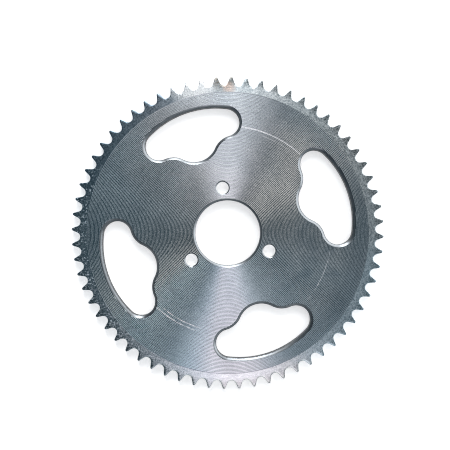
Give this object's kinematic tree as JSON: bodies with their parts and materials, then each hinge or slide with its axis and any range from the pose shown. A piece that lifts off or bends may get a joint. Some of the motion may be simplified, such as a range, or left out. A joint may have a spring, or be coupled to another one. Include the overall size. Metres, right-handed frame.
{
  "type": "rear sprocket",
  "caption": "Flat steel rear sprocket for a small roller chain, with a plain centre bore, a bolt circle, curved lightening windows and a bevelled toothed rim.",
  "frame": {"origin": "centre of the bore on the plate's back (seat) face", "axes": "+Z along the bore's axis towards the front face, whose window edges are rolled round; the four windows are centred on the X and Y axes"},
  "size_m": [0.1676, 0.1676, 0.0043],
  "materials": {
    "zinc_plated_steel": "lathe-turned steel with fine concentric grooves, bright zinc plated with a cool blue-grey tint"
  },
  "bodies": {
    "root": {"sprocket_plate": "zinc_plated_steel"}
  },
  "joints": []
}
